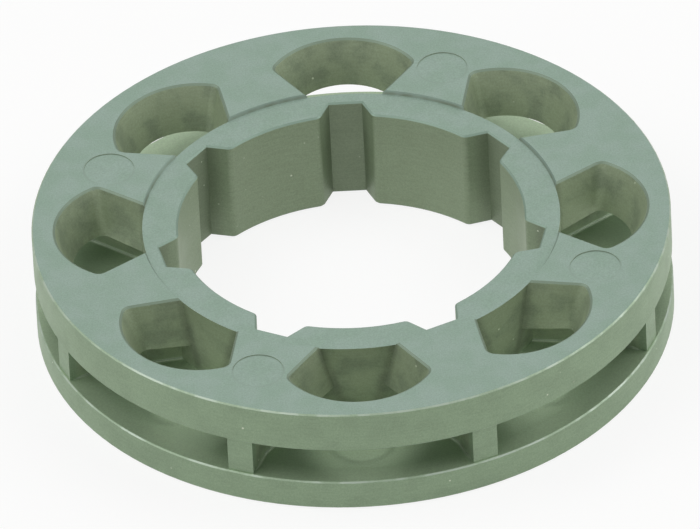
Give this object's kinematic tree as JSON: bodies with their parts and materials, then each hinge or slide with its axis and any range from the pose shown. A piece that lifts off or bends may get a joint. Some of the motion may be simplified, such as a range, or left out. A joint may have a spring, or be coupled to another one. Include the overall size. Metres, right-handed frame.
{
  "type": "chainsaw rim sprocket",
  "caption": "Flat ring-shaped drive rim for a saw chain: splined bore, upper and lower flanges joined by teeth round a chain channel, and flared windows through the upper flange.",
  "frame": {"origin": "on the bore axis, in the plane of the lower face", "axes": "+Z along the bore axis, out of the windowed face; +X and +Y each through the middle of a window, and +Y also through the middle of a spline groove"},
  "size_m": [0.0364, 0.0364, 0.0066],
  "materials": {
    "cast_steel": "matt grey-green as-cast steel with a fine grain and slightly brighter worn edges"
  },
  "bodies": {
    "root": {"rim_sprocket": "cast_steel"}
  },
  "joints": []
}
